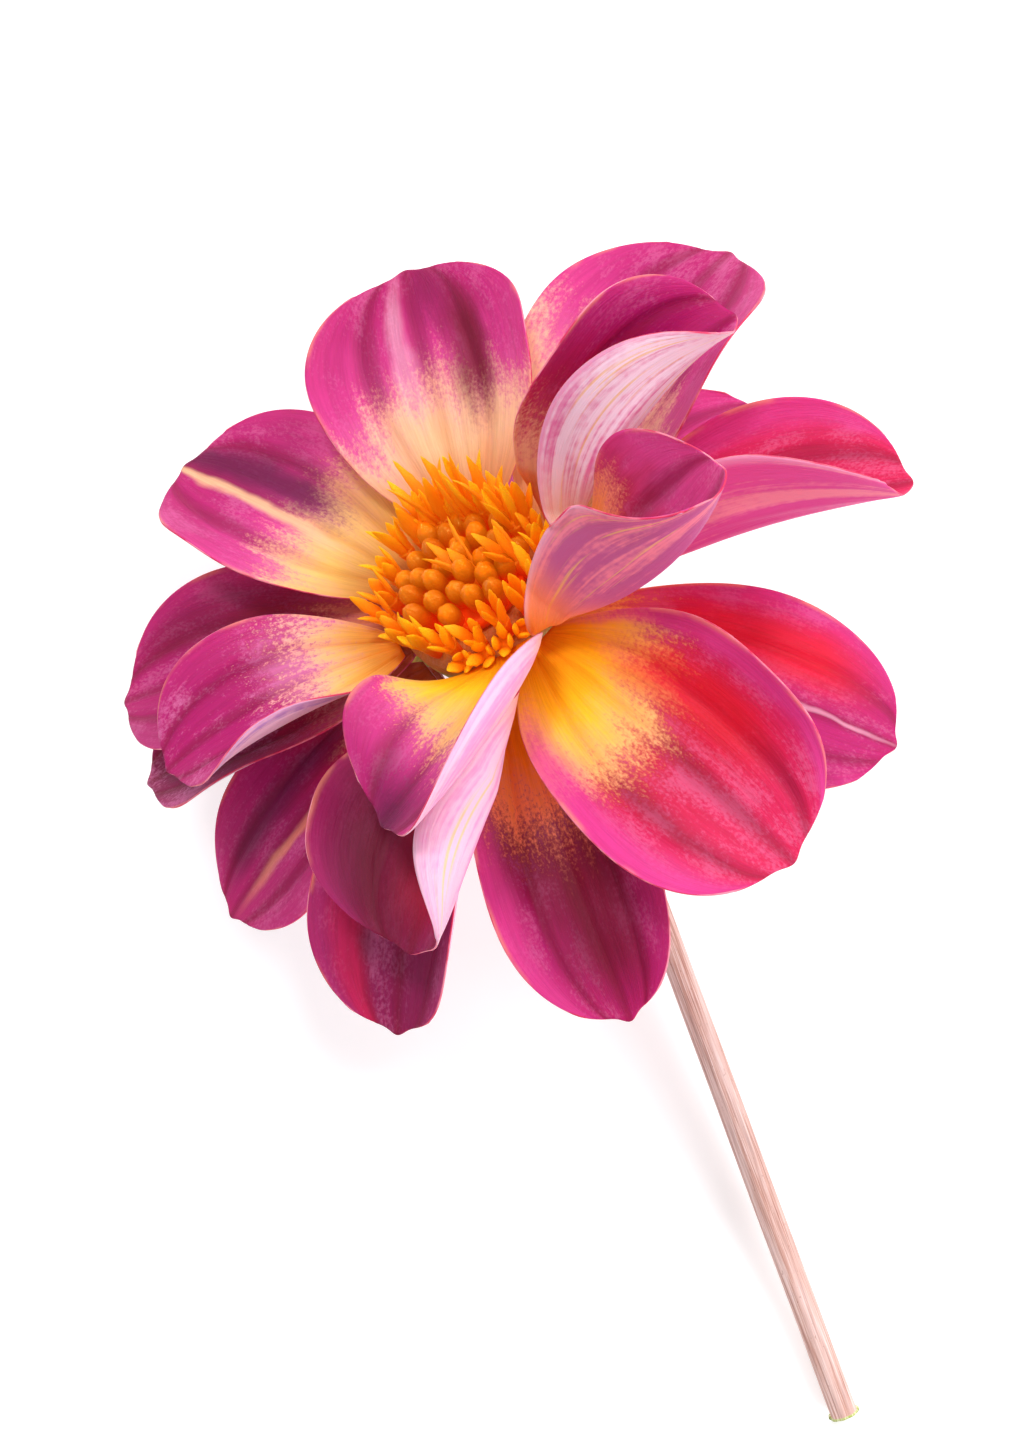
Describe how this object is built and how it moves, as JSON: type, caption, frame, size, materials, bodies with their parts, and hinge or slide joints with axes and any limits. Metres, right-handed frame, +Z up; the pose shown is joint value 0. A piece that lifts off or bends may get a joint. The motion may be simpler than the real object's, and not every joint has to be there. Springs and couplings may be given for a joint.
{
  "type": "cut flower",
  "caption": "Cut dahlia head with broad cupped ray florets round a beaded disc, on a bare stem, lying on its back petals and the cut end of the stem.",
  "frame": {"origin": "middle of the footprint, on the surface that the flower lies on", "axes": "+Z up, +Y the long way of the flower from the cut end of the stem towards the head, +X to the right"},
  "size_m": [0.084, 0.135, 0.0737],
  "materials": {
    "ray": "satin, magenta-pink with a cream and yellow base",
    "bud": "glossy",
    "disc_floret": "matte",
    "receptacle": "satin",
    "phyllary": "thin, translucent",
    "leafy_bract": "satin",
    "stem": "satin"
  },
  "bodies": {
    "root": {"ray_floret_01": "ray", "ray_floret_02": "ray", "ray_floret_03": "ray", "ray_floret_04": "ray", "ray_floret_05": "ray", "ray_floret_06": "ray", "ray_floret_07": "ray", "ray_floret_08": "ray", "ray_floret_09": "ray", "ray_floret_10": "ray", "ray_floret_11": "ray", "ray_floret_12": "ray", "ray_floret_13": "ray", "ray_floret_14": "ray", "ray_floret_15": "ray", "ray_floret_16": "ray", "ray_floret_17": "ray", "ray_floret_18": "ray", "ray_floret_19": "ray", "ray_floret_20": "ray", "ray_floret_21": "ray", "disc_floret_01": "disc_floret", "disc_floret_02": "disc_floret", "disc_floret_03": "disc_floret", "disc_floret_04": "disc_floret", "disc_floret_05": "disc_floret", "disc_floret_06": "disc_floret", "disc_floret_07": "disc_floret", "disc_floret_08": "disc_floret", "disc_floret_09": "disc_floret", "disc_floret_10": "disc_floret", "disc_floret_11": "disc_floret", "disc_floret_12": "disc_floret", "disc_floret_13": "disc_floret", "disc_floret_14": "disc_floret", "disc_floret_15": "disc_floret", "disc_floret_16": "disc_floret", "disc_floret_17": "disc_floret", "disc_floret_18": "disc_floret", "disc_buds": "bud", "receptacle": "receptacle", "phyllary_1": "phyllary", "phyllary_2": "phyllary", "phyllary_3": "phyllary", "phyllary_4": "phyllary", "phyllary_5": "phyllary", "phyllary_6": "phyllary", "phyllary_7": "phyllary", "phyllary_8": "phyllary", "leafy_bract_1": "leafy_bract", "leafy_bract_2": "leafy_bract", "leafy_bract_3": "leafy_bract", "leafy_bract_4": "leafy_bract", "leafy_bract_5": "leafy_bract", "stem": "stem"}
  },
  "joints": []
}
